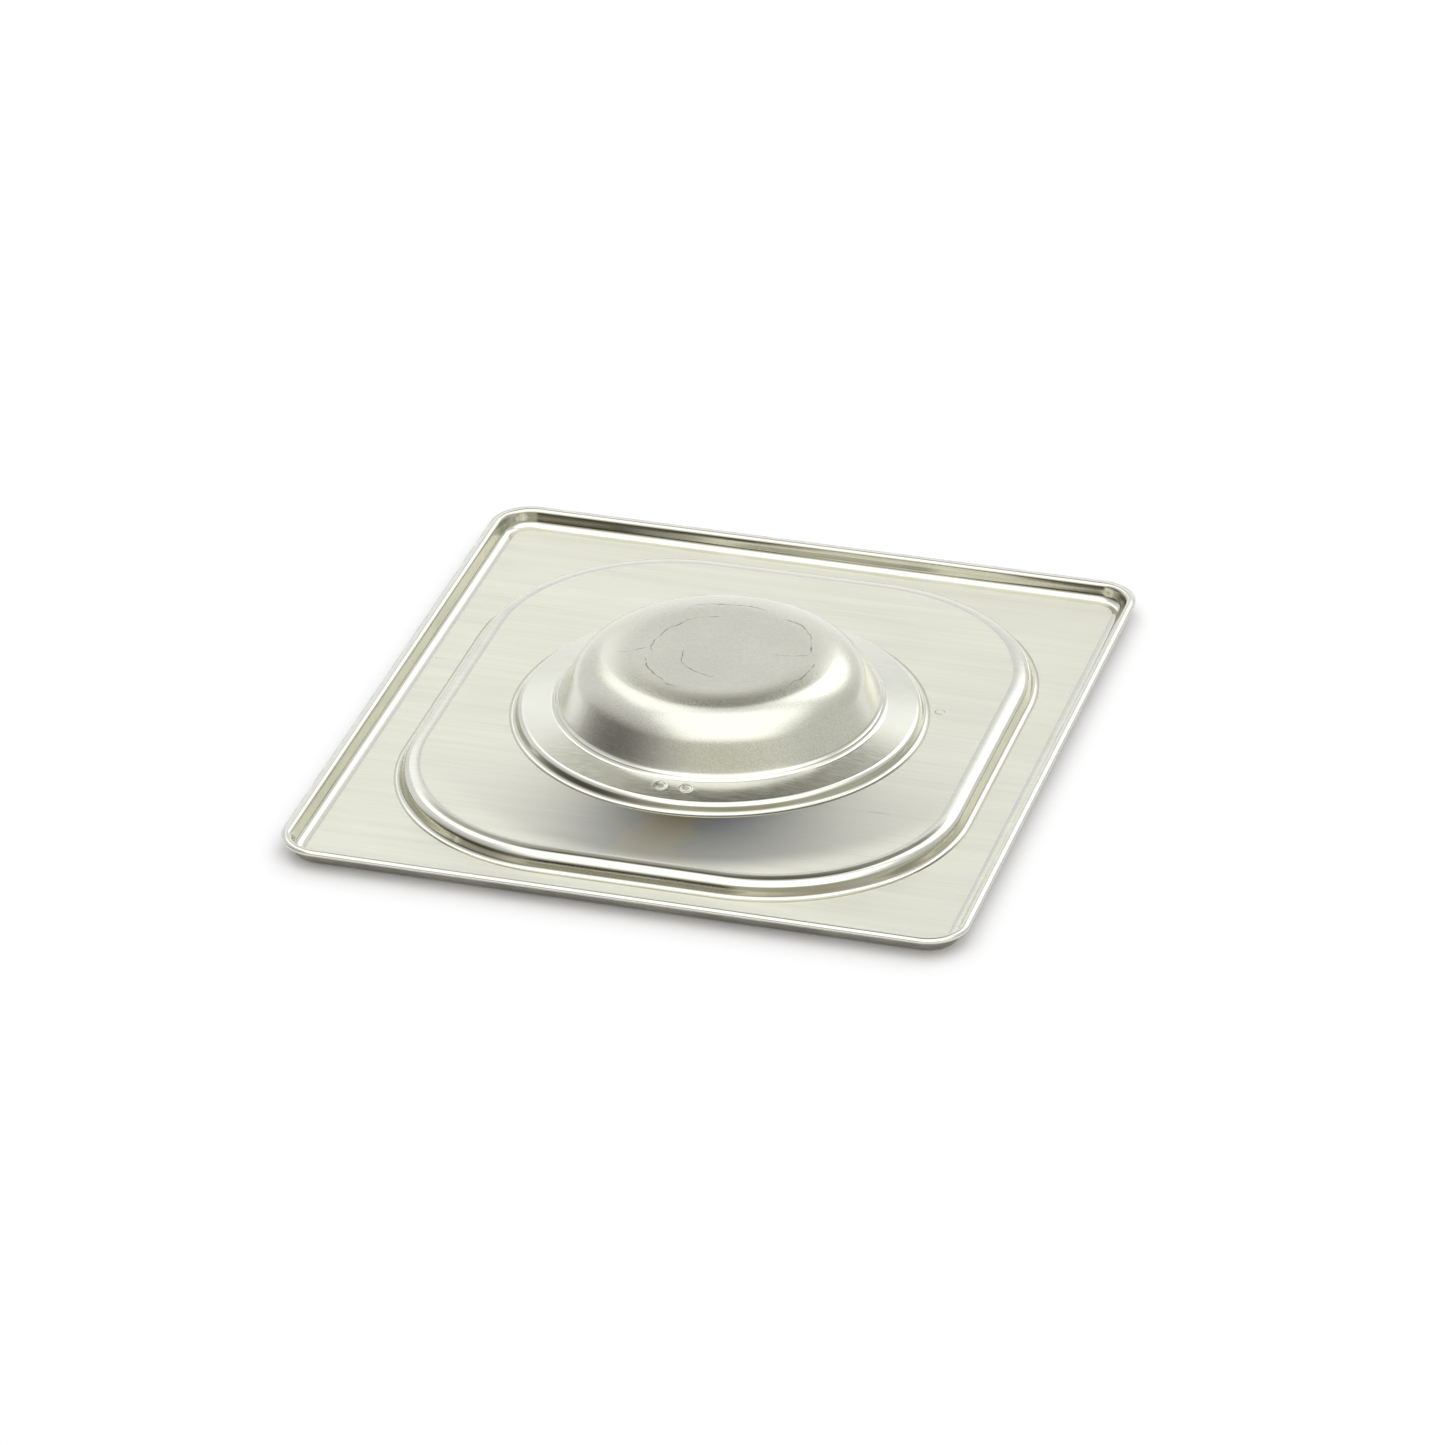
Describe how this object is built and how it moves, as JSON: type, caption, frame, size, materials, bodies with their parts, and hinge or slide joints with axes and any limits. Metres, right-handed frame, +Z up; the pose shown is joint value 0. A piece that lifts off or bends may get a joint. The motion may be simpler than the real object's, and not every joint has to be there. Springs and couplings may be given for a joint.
{
  "type": "gastronorm pan lid",
  "caption": "Pressed stainless steel lid for a small catering pan, upside down: upturned rim, raised panel, domed finger recess and a fixed strap handle underneath.",
  "frame": {"origin": "middle of the lid in plan, in the plane of the flange's outer face, which is the lowest face in this pose", "axes": "+Z up, from the flange towards the domed bowl, so the lid lies upside down. +Y along the longer side, towards the back, in line with the strap handle. +X across, to the right."},
  "size_m": [0.162, 0.176, 0.0219],
  "materials": {
    "pressed_steel": "satin brushed, fine straight grain",
    "strap_steel": "satin brushed",
    "weld_steel": "dull, heat tinted"
  },
  "bodies": {
    "root": {"lid_pressing": "pressed_steel", "handle_strap": "strap_steel", "spot_weld_front_left": "weld_steel", "spot_weld_front_right": "weld_steel", "spot_weld_rear_left": "weld_steel", "spot_weld_rear_right": "weld_steel"}
  },
  "joints": []
}
